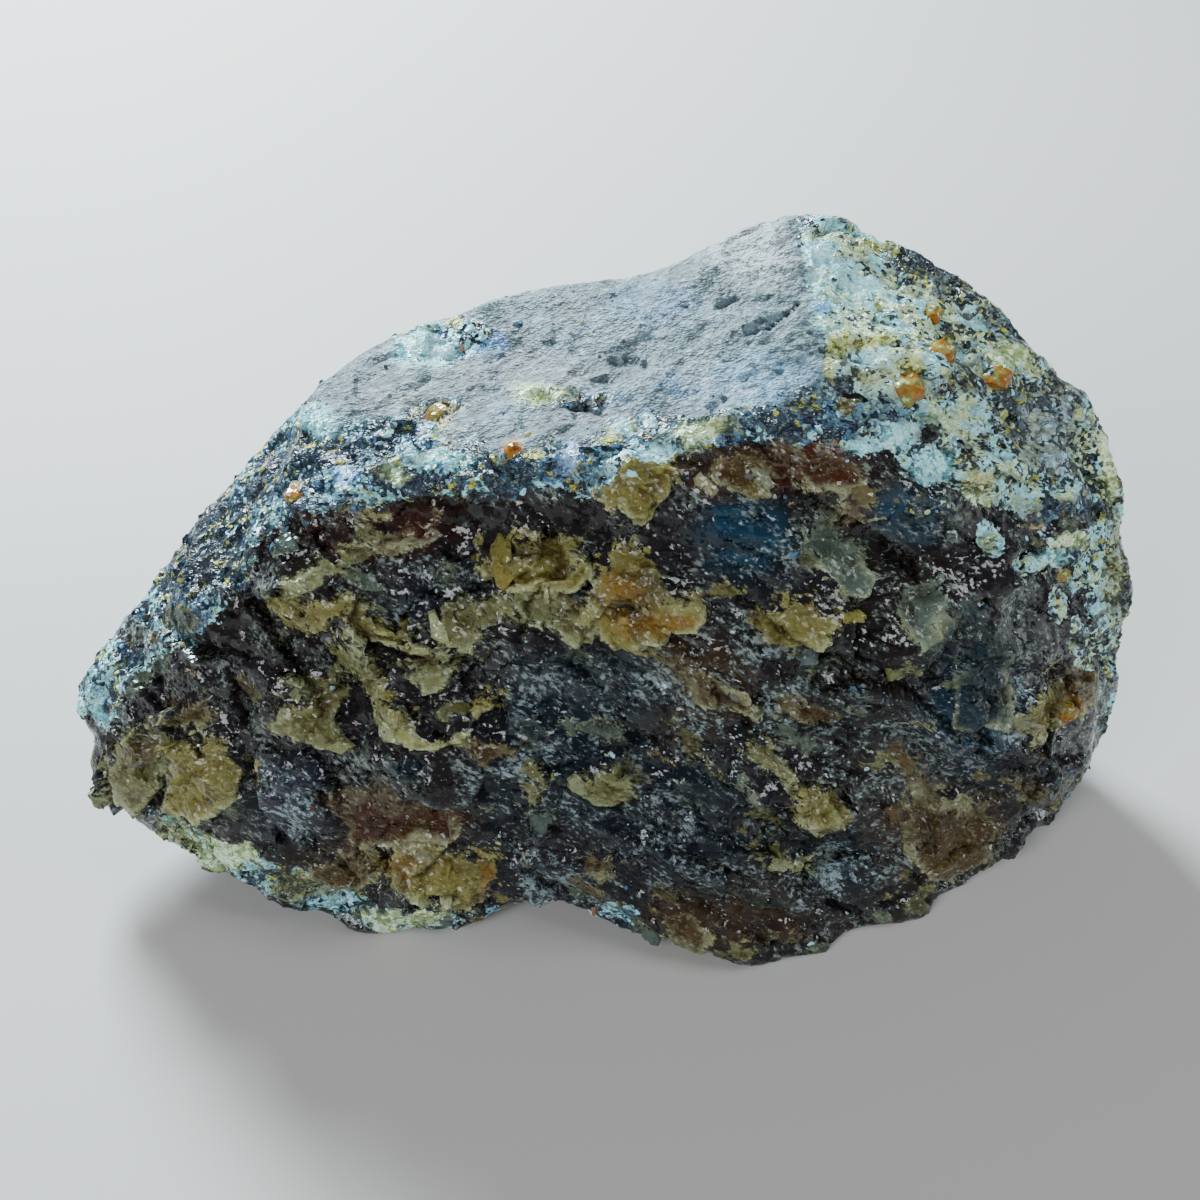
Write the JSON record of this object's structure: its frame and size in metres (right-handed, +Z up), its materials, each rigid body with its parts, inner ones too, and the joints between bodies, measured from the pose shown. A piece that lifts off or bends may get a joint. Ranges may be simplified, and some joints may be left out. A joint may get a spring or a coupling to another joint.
{
  "type": "raw amber",
  "caption": "Rough lump of dark raw amber with a grey matrix crust on top and a broken glassy front, resting on a small flat spot.",
  "frame": {"origin": "middle of the lump's box, at the level of the surface it rests on", "axes": "+X along the lump's length towards its tall end, -Y out of the broken glassy front, +Z up"},
  "size_m": [0.1156, 0.0572, 0.0645],
  "materials": {
    "raw_amber": "broken resin, glassy and dark on the front, with a matte grey crust on top"
  },
  "bodies": {
    "root": {"raw_amber": "raw_amber"}
  },
  "joints": []
}
